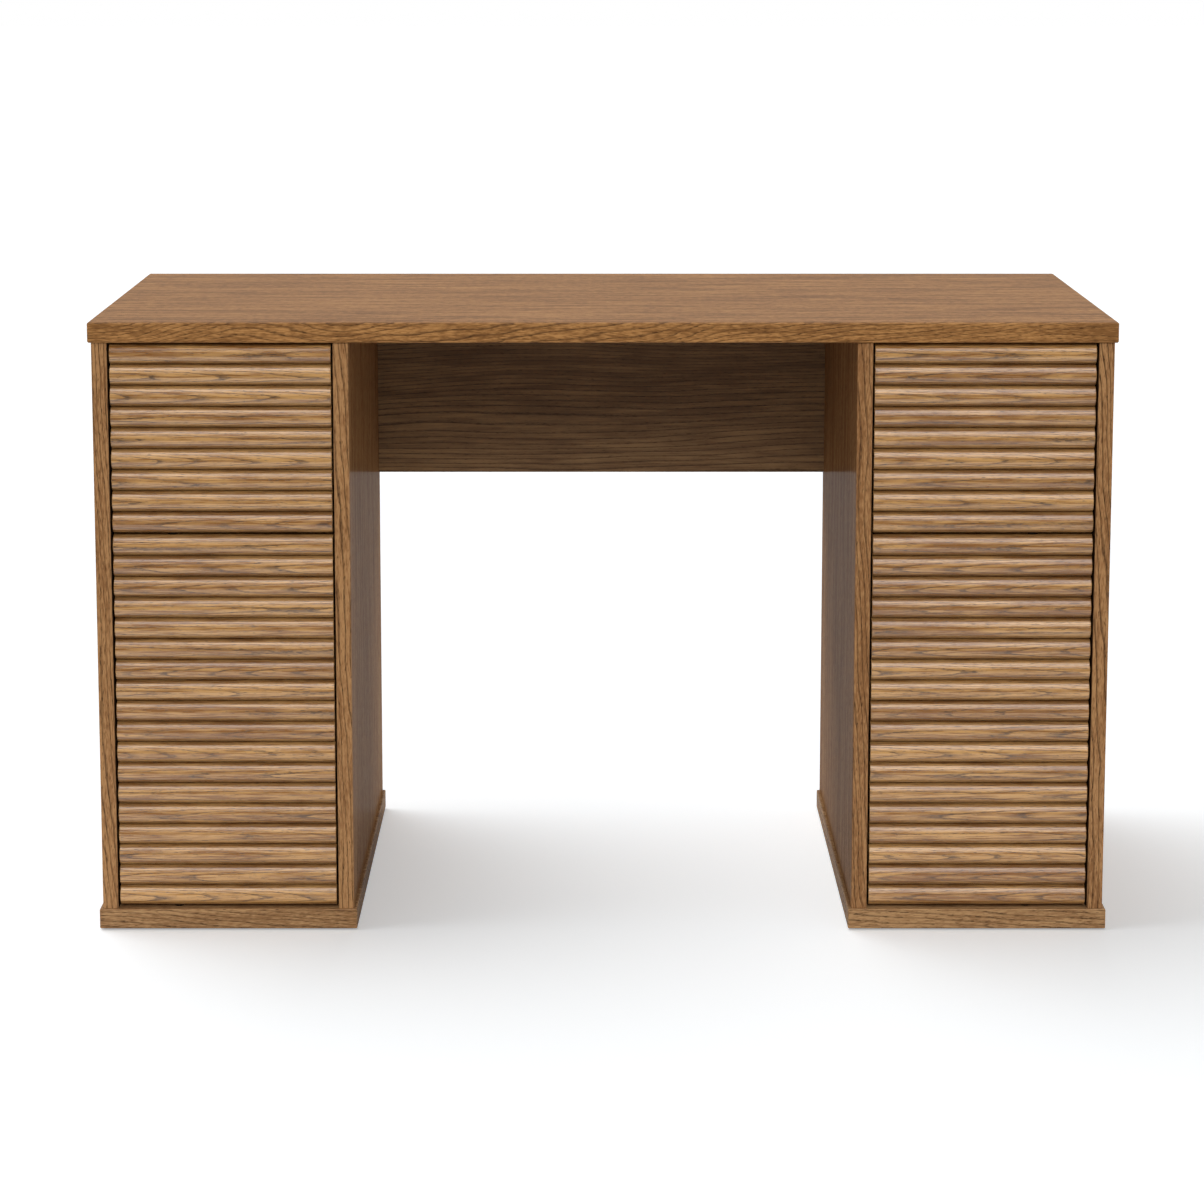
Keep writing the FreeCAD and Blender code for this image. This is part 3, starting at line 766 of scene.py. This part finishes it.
@dataclass
class FlutedFront:
    """A front panel whose face is a row of convex reeds that meet in sharp valleys.

    Its narrow ends are lipped: their grain runs upright, and the reeds' grain runs along them.
    """

    node: str
    reeds: int
    finish: OakFinish = FRONT_OAK
    slot: str = "oak_front"
    steps: int = 20
    arris: float = 0.7 * MILLIMETRE
    edge_reach: float = 0.2 * MILLIMETRE
    valley_turn: float = math.radians(25)
    seeds: int = 1000

    @staticmethod
    def tree() -> bpy.types.NodeTree:
        """The tree that makes any such front, made at its first use.

        Returns:
            The node tree.
        """
        name = "fluted front"
        if name in bpy.data.node_groups:
            return bpy.data.node_groups[name]
        floats = ("Width", "Thickness", "Height", "Valley Depth", "Arris", "Valley Turn")
        graph, given = geometry_tree(name, {label: "NodeSocketFloat" for label in floats} | {
            "Reeds": "NodeSocketInt", "Steps": "NodeSocketInt", "Seed": "NodeSocketInt",
            "Centre": "NodeSocketVector", "Material": "NodeSocketMaterial"})
        width, thickness, height = given["Width"], given["Thickness"], given["Height"]
        valley, arris = given["Valley Depth"], given["Arris"]
        panel = graph.node("GeometryNodeMeshCube", {}, {
            "Size": graph.join(width, thickness, height), "Vertices X": FRONT_COLUMNS,
            "Vertices Z": given["Reeds"] * given["Steps"] + 1})

        x, y, z = graph.split(graph.node("GeometryNodeInputPosition"))
        pitch = height / given["Reeds"]
        reed = (z + height / 2) / pitch
        offset = (reed.fraction() - MIDDLE) * pitch
        radius = (pitch * pitch / 4 + valley * valley) / (2 * valley)
        turn = 2 * (offset / pitch) * (pitch / 2 / radius).arcsine()
        fall = radius - radius * turn.cosine()
        new_z = z - offset + radius * turn.sine()
        at_end = abs(x).above(width / 2 - arris / 2)
        at_front = (0 - y).above(0)
        inner_x = x.sign() * (width / 2 - arris)
        new_x = at_end * x + (1 - at_end) * inner_x
        new_y = y + at_front * (fall + at_end * arris)
        shaped = graph.node("GeometryNodeSetPosition", {}, {
            "Geometry": panel, "Position": graph.join(new_x, new_y, new_z)})

        tone = graph.node("FunctionNodeRandomValue", {"data_type": "FLOAT"},
                          {"ID": math.floor(reed), "Seed": given["Seed"]}, out="Value")
        toned = graph.store(shaped, "tone", MIDDLE + at_front * (tone - MIDDLE), "FLOAT", "FACE")
        # The depth into each valley, which the oak's shader darkens as painted shade
        hollowed = graph.store(toned, "hollow", (y + thickness / 2) / valley, "FLOAT", "POINT")
        placed = graph.node("GeometryNodeSetPosition", {}, {"Geometry": hollowed, "Offset": given["Centre"]})
        grain_x, grain_y, grain_z = graph.split(graph.node("GeometryNodeInputPosition"))
        facing_x, _, _ = graph.split(graph.node("GeometryNodeInputNormal"))
        lipped = graph.node("GeometryNodeFieldOnDomain", {"domain": "FACE", "data_type": "FLOAT"},
                            {0: abs(facing_x).above(math.cos(LIPPING_TURN))})
        along = grain_x + lipped * (grain_z - grain_x)
        across = grain_z + lipped * (grain_y - grain_z)
        depth = grain_y + lipped * (grain_x - grain_y)
        grained = graph.store(placed, "grain", graph.join(along, across, depth), "FLOAT_VECTOR", "CORNER")
        finish_tree(graph, shade_by_angle(graph, grained, given["Valley Turn"]), given["Material"])
        return graph.tree

    def valley_depth(self) -> float:
        """How far the valleys lie behind the crests, read at the lower edge of the CAD solid.

        Returns:
            The depth in metres.
        """
        low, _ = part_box(self.node)
        corners = [vertex.co for vertex in frame["nodes"][self.node].data.vertices]
        return min(corner.y for corner in corners if corner.z < low.z + self.edge_reach) - low.y

    def build(self) -> bpy.types.Object:
        """Grow the front in the place of its CAD solid.

        Returns:
            The new piece.
        """
        low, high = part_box(self.node)
        size = high - low
        piece = grown(self.node + "_fluted", self.tree(), {
            "Width": size.x, "Thickness": size.y, "Height": size.z, "Valley Depth": self.valley_depth(),
            "Arris": self.arris, "Valley Turn": self.valley_turn, "Reeds": self.reeds, "Steps": self.steps,
            "Seed": random.Random(self.node).randrange(self.seeds), "Centre": (low + high) / 2,
            "Material": self.finish.material()})
        return stand_for(piece, self.node)


@dataclass
class Fasteners:
    """Round heads with a cross recess, each with its shank, in the places of a CAD node's solids.

    A plain solid, which is a disc, is shared out between a head and a shank behind it.
    """

    node: str
    finish: Finish = ZINC
    slot: str = "zinc"
    sides: int = 24
    rim_share: float = 0.86
    recess_length_share: float = 1.15
    recess_width_share: float = 0.26
    recess_depth_share: float = 0.4
    plain_shank_share: float = 0.5
    plain_length_share: float = 0.75
    radius_digits: int = 5
    seed: int = 5
    smooth_turn: float = math.radians(30)
    weld: float = 0.01 * MILLIMETRE

    @staticmethod
    def tree() -> bpy.types.NodeTree:
        """The tree that sets fasteners on points along their aim, made at its first use.

        Returns:
            The node tree.
        """
        name = "fasteners"
        if name in bpy.data.node_groups:
            return bpy.data.node_groups[name]
        floats = ("Head Radius", "Rim Radius", "Head Height", "Shank Radius", "Length", "Recess Length",
                  "Recess Width", "Recess Depth", "Smooth Turn")
        graph, given = geometry_tree(name, {"Geometry": "NodeSocketGeometry"} | {
            label: "NodeSocketFloat" for label in floats} | {
            "Sides": "NodeSocketInt", "Seed": "NodeSocketInt", "Material": "NodeSocketMaterial"})
        head_height, length = given["Head Height"], given["Length"]
        head = graph.node("GeometryNodeMeshCone", {}, {
            "Vertices": given["Sides"], "Radius Top": given["Head Radius"],
            "Radius Bottom": given["Rim Radius"], "Depth": head_height})
        shank = graph.node("GeometryNodeMeshCylinder", {}, {
            "Vertices": given["Sides"], "Radius": given["Shank Radius"], "Depth": length - head_height / 2})
        sunk_shank = graph.node("GeometryNodeTransform", {}, {
            "Geometry": shank, "Translation": graph.join(0.0, 0.0, (length + head_height / 2) / 2)})
        bodied = graph.node("GeometryNodeMeshBoolean", {"operation": "UNION", "solver": "EXACT"},
                            {"Mesh": [head, sunk_shank]})
        long, wide, deep = given["Recess Length"], given["Recess Width"], given["Recess Depth"]
        bars = [graph.node("GeometryNodeMeshCube", {}, {"Size": size})
                for size in (graph.join(long, wide, deep * 2), graph.join(wide, long, deep * 2))]
        cut = graph.node("GeometryNodeMeshBoolean", {"operation": "DIFFERENCE", "solver": "EXACT"},
                         {"Mesh 1": bodied, "Mesh 2": bars})
        aim = graph.node("GeometryNodeInputNamedAttribute", {"data_type": "FLOAT_VECTOR"}, {"Name": "aim"})
        turn = graph.node("FunctionNodeAlignRotationToVector", {"axis": "Z"}, {"Vector": aim})
        shaded = shade_by_angle(graph, cut, given["Smooth Turn"])
        set_in = graph.node("GeometryNodeInstanceOnPoints", {}, {
            "Points": given["Geometry"], "Instance": shaded, "Rotation": turn})
        driven = graph.node("FunctionNodeRandomValue", {"data_type": "FLOAT"},
                            {"Max": math.pi, "Seed": given["Seed"]}, out="Value")
        turned = graph.node("GeometryNodeRotateInstances", {}, {
            "Instances": set_in, "Rotation": graph.join(0.0, 0.0, driven)})
        finish_tree(graph, turned, given["Material"])
        return graph.tree

    def solids(self) -> list[list[Vector]]:
        """Corners of each separate solid of the CAD node.

        Returns:
            One list of corners for each solid.
        """
        shape = bmesh.new()
        shape.from_mesh(frame["nodes"][self.node].data)
        bmesh.ops.remove_doubles(shape, verts=shape.verts, dist=self.weld)
        left = set(shape.verts)
        found: list[list[Vector]] = []
        while left:
            queue = [left.pop()]
            corners: list[Vector] = []
            while queue:
                vertex = queue.pop()
                corners.append(vertex.co.copy())
                beside = {edge.other_vert(vertex) for edge in vertex.link_edges} & left
                left -= beside
                queue += beside
            found.append(corners)
        shape.free()
        return sorted(found, key=lambda corners: min(tuple(corner) for corner in corners))

    def measure(self, corners: Sequence[Vector]) -> tuple[Vector, Vector, dict[str, float]]:
        """Read a fastener's place and sizes from its solid.

        Args:
            corners: The corners of the solid.

        Returns:
            The middle of its head's face, its aim, and its sizes by the tree's names for them.
        """
        low = Vector([min(corner[axis] for corner in corners) for axis in AXES])
        high = Vector([max(corner[axis] for corner in corners) for axis in AXES])
        sizes, middle = high - low, (low + high) / 2
        axis = max(AXES, key=lambda part: abs(len(AXES) * sizes[part] - sum(sizes)))
        aim = Vector([float(part == axis) for part in AXES])
        reaches = [(corner - middle - (corner - middle).project(aim)).length for corner in corners]
        radius, shank = [round(pick(reaches), self.radius_digits) for pick in (max, min)]
        wide_from = (radius + shank) / 2 - self.weld
        wide = [corner[axis] for corner, reach in zip(corners, reaches) if reach > wide_from]
        if high[axis] - max(wide) < self.weld:
            aim.negate()
        head, length = max(wide) - min(wide), sizes[axis]
        plain = length - head < self.weld
        face = middle - aim * (length / 2)
        return face, aim, {
            "Head Radius": radius, "Rim Radius": radius * self.rim_share, "Head Height": head,
            "Shank Radius": radius * self.plain_shank_share if plain else shank,
            "Length": length * self.plain_length_share if plain else length,
            "Recess Length": radius * self.recess_length_share,
            "Recess Width": radius * self.recess_width_share,
            "Recess Depth": radius * self.recess_depth_share}

    def build(self) -> bpy.types.Object:
        """Grow the fasteners.

        Returns:
            The new piece.
        """
        read = [self.measure(corners) for corners in self.solids()]
        points = bpy.data.meshes.new(self.node + "_places")
        points.from_pydata([face for face, _, _ in read], [], [])
        aims = [part for _, aim, _ in read for part in aim]
        points.attributes.new("aim", "FLOAT_VECTOR", "POINT").data.foreach_set("vector", aims)
        piece = grown(self.node + "_cross_head", self.tree(), read[0][2] | {
            "Smooth Turn": self.smooth_turn, "Sides": self.sides, "Seed": self.seed,
            "Material": self.finish.material()}, points)
        return stand_for(piece, self.node)


@dataclass(frozen=True)
class Lamp:
    """A far soft lamp. Azimuth 0 is straight in front, and 90 is on the right.

    One that shapes lights the object's matt colour, one that gleams shows in its lacquer, and the pieces
    that it passes cast no shadow from it.
    """

    name: str
    azimuth: float
    elevation: float
    strength: float
    spread: float
    lit: Lit = Lit.DESK
    shapes: bool = True
    gleams: bool = True
    passes: tuple[str, ...] = ()

    def build(self, floor: bpy.types.Object) -> bpy.types.Object:
        """Hang the lamp.

        Args:
            floor: The floor, which some lamps leave out.

        Returns:
            The lamp's object.
        """
        data = bpy.data.lights.new(self.name, "SUN")
        data.energy = self.strength
        data.angle = math.radians(self.spread)
        lamp = bpy.data.objects.new(self.name, data)
        bpy.context.scene.collection.objects.link(lamp)
        azimuth, elevation = math.radians(self.azimuth), math.radians(self.elevation)
        towards = Vector((math.sin(azimuth) * math.cos(elevation), -math.cos(azimuth) * math.cos(elevation),
                          math.sin(elevation)))
        lamp.visible_diffuse = self.shapes
        lamp.visible_glossy = self.gleams
        lamp.rotation_mode = "QUATERNION"
        lamp.rotation_quaternion = towards.to_track_quat("Z", "Y")
        lamp.light_linking.receiver_collection = self.linked("lit", [floor], self.lit.value)
        if self.passes:
            clear = [bpy.data.objects[piece] for piece in self.passes]
            lamp.light_linking.blocker_collection = self.linked("clear", clear, "EXCLUDE")
        return lamp

    def linked(self, use: str, things: Sequence[bpy.types.Object], state: str) -> bpy.types.Collection:
        """Make a collection that a lamp is linked to.

        Args:
            use: What the collection is for.
            things: The objects in it.
            state: Whether the lamp takes in or leaves out these objects.

        Returns:
            The collection.
        """
        group = bpy.data.collections.new(self.name + " " + use)
        for thing in things:
            group.objects.link(thing)
        for entry in group.collection_objects:
            entry.light_linking.link_state = state
        return group


@dataclass
class Studio:
    """Pale floor, soft lamps and the camera."""

    floor_half: float = 40.0
    floor_front: float = -1.4
    floor_colour: str = "#ECF0F3"
    floor_lift: float = 0.40
    ambient: float = 0.25
    front_gleam: float = 0.05
    front_fade: Span = (-0.5, 0.3)
    camera_place: tuple[float, float, float] = (-0.0153, -4.4278, 1.2296)
    camera_pitch: float = 0.1526
    camera_lens: float = 102.59
    camera_sensor: float = 36.0
    camera_shift: Span = (0.0097, -0.12)
    lamps: tuple[Lamp, ...] = (
        Lamp("front", azimuth=0.0, elevation=28.0, strength=2.03, spread=30.0, gleams=False),
        Lamp("left softbox", azimuth=-16.0, elevation=71.0, strength=1.1, spread=42.0, shapes=False),
        Lamp("right softbox", azimuth=18.0, elevation=44.0, strength=0.52, spread=32.0, shapes=False),
        Lamp("rear", azimuth=-155.0, elevation=50.0, strength=0.95, spread=40.0, gleams=False),
        Lamp("left side", azimuth=-98.0, elevation=25.0, strength=1.0, spread=40.0, gleams=False),
        Lamp("right side", azimuth=98.0, elevation=25.0, strength=1.0, spread=40.0, gleams=False),
        Lamp("floor", azimuth=-125.0, elevation=48.0, strength=2.4, spread=75.0, lit=Lit.FLOOR,
             passes=("tabletop_wood", "modesty_panel_wood")),
    )

    def build(self) -> None:
        """Set up everything round the desk."""
        floor = self.build_floor()
        self.build_world()
        for lamp in self.lamps:
            lamp.build(floor)
        self.build_camera()
        bpy.context.scene.view_settings.view_transform = "Standard"

    @staticmethod
    def seen(graph: Graph) -> Value:
        """Tell the rays that show the background: from the camera, by reflection or through glass.

        Args:
            graph: The graph of the floor's or the world's shader.

        Returns:
            One for these rays, and zero for the others.
        """
        camera = graph.node("ShaderNodeLightPath", out="Is Camera Ray")
        outputs = camera.socket.node.outputs
        return camera.larger(Value(graph, outputs["Is Glossy Ray"])).larger(
            Value(graph, outputs["Is Transmission Ray"]))

    def build_floor(self) -> bpy.types.Object:
        """Lay a wide pale floor that looks white where nothing shades it.

        Returns:
            The floor.
        """
        half, front = self.floor_half, self.floor_front
        corners = [(-half, front, 0), (half, front, 0), (half, half, 0), (-half, half, 0)]
        mesh = bpy.data.meshes.new("floor")
        mesh.from_pydata(corners, [], [tuple(range(len(corners)))])
        material, graph = blank_material("floor")
        matt = graph.node("ShaderNodeBsdfDiffuse", {}, {"Color": linear(self.floor_colour)})
        lift = graph.node("ShaderNodeEmission", {}, {
            "Color": WHITE, "Strength": self.seen(graph) * self.floor_lift})
        surface = graph.node("ShaderNodeAddShader", {}, {0: matt, 1: lift})
        graph.node("ShaderNodeOutputMaterial", {}, {"Surface": surface})
        mesh.materials.append(material)
        floor = bpy.data.objects.new("floor", mesh)
        bpy.context.scene.collection.objects.link(floor)
        return floor

    def build_world(self) -> None:
        """Light the desk evenly from a white room."""
        world = bpy.data.worlds.new("white room")
        bpy.context.scene.world = world
        world.use_nodes = True
        world.node_tree.nodes.clear()
        graph = Graph(world.node_tree)
        _, back, _ = graph.split(graph.node("ShaderNodeTexCoord", out="Generated"))
        camera = graph.node("ShaderNodeLightPath", out="Is Camera Ray")
        shown = self.front_gleam + back.fade(*self.front_fade).larger(camera) * (1 - self.front_gleam)
        strength = self.ambient + self.seen(graph) * (shown - self.ambient)
        room = graph.node("ShaderNodeBackground", {}, {"Color": WHITE, "Strength": strength})
        graph.node("ShaderNodeOutputWorld", {}, {"Surface": room})

    def build_camera(self) -> None:
        """Place the camera where the photograph was taken from."""
        data = bpy.data.cameras.new("camera")
        data.lens = self.camera_lens
        data.sensor_width = self.camera_sensor
        data.shift_x, data.shift_y = self.camera_shift
        camera = bpy.data.objects.new("camera", data)
        camera.location = self.camera_place
        camera.rotation_euler = (math.pi / 2 - self.camera_pitch, 0, 0)
        bpy.context.scene.collection.objects.link(camera)
        bpy.context.scene.camera = camera


@dataclass
class Top:
    """The tabletop and the modesty panel under it."""

    def build(self) -> None:
        """Make both boards."""
        Board("tabletop", Grain.ACROSS_DESK, TOP_OAK, "oak_top").build()
        Board("modesty_panel", Grain.ACROSS_DESK, PANEL_OAK, "oak_panel").build()


@dataclass
class Pedestal:
    """One pedestal's fixed boards, its drawer and its door."""

    side: Side
    drawer_reeds: int = 9
    door_reeds: int = 18

    def name(self, piece: str) -> str:
        """The node's name on this side."""
        return self.side.value + "_" + piece

    def build(self) -> None:
        """Make the carcass, the drawer and the door."""
        self.build_carcass()
        self.build_drawer()
        self.build_door()

    def build_carcass(self) -> None:
        """Make the fixed boards."""
        outwards = RIGHTWARDS if self.side is Side.RIGHT else -RIGHTWARDS
        Board(self.name("outer_side"), Grain.UPRIGHT, SIDE_OAK, "oak_side", -outwards,
              OUTER_TONES[self.side]).build()
        Board(self.name("inner_side"), Grain.UPRIGHT, SIDE_OAK, "oak_side", outwards).build()
        Board(self.name("base_board"), Grain.ACROSS_DESK, BASE_OAK, "oak_base").build()
        Board(self.name("back_panel"), Grain.UPRIGHT, BACK_OAK, "oak_back", FORWARDS).build()
        for piece in ("divider", "shelf", "top_rails"):
            Board(self.name(piece), Grain.ACROSS_DESK, SHADED_INSIDE_OAK, "oak_inside").build()

    def build_drawer(self) -> None:
        """Make the drawer's front and box, and dress its slides."""
        FlutedFront(self.name("drawer_front"), self.drawer_reeds).build()
        for piece in ("drawer_box_front", "drawer_back"):
            Board(self.name(piece), Grain.ACROSS_DESK, DRAWER_WOOD, "drawer_wood").build()
        for piece in ("drawer_sides", "drawer_bottom"):
            Board(self.name(piece), Grain.INTO_DESK, DRAWER_WOOD, "drawer_wood").build()
        members = ("slide_cabinet_members", "slide_middle_members", "slide_drawer_members")
        paint([self.name(piece) for piece in members], SLIDE_STEEL)
        paint([self.name(piece) for piece in ("slide_outer_cages", "slide_inner_cages")], NYLON)
        Fasteners(self.name("drawer_screws")).build()
        paint([self.name("drawer_plunger")], LATCH_PLASTIC)

    def build_door(self) -> None:
        """Make the door and dress its fittings."""
        FlutedFront(self.name("door_panel"), self.door_reeds).build()
        paint([self.name("door_bushes")], BRASS)
        paint([self.name("door_strike")], PIVOT_STEEL)
        paint([self.name("door_plunger")], LATCH_PLASTIC)


@dataclass
class Fittings:
    """The fixed fittings of both pedestals."""

    cross_heads: tuple[str, ...] = ("modesty_cams", "top_screws", "fitting_screws")
    zinc_nodes: tuple[str, ...] = ("modesty_cam_bolts", "shelf_pins")
    steel_nodes: tuple[str, ...] = ("top_pivot_plates", "bottom_pivot_pins")
    plastic_nodes: tuple[str, ...] = ("door_latch_bodies", "drawer_latch_bodies")
    nylon_nodes: tuple[str, ...] = ("base_glides",)

    def build(self) -> None:
        """Dress every fitting."""
        for node in self.cross_heads:
            Fasteners(node).build()
        paint(self.zinc_nodes, ZINC)
        paint(self.steel_nodes, PIVOT_STEEL)
        paint(self.plastic_nodes, LATCH_PLASTIC)
        paint(self.nylon_nodes, NYLON)


def main() -> None:
    """Build the desk and the studio round it."""
    logging.basicConfig(level=logging.INFO, format="%(name)s: %(message)s")
    Top().build()
    for side in Side:
        Pedestal(side).build()
    Fittings().build()
    Studio().build()


if __name__ == "__main__":
    main()
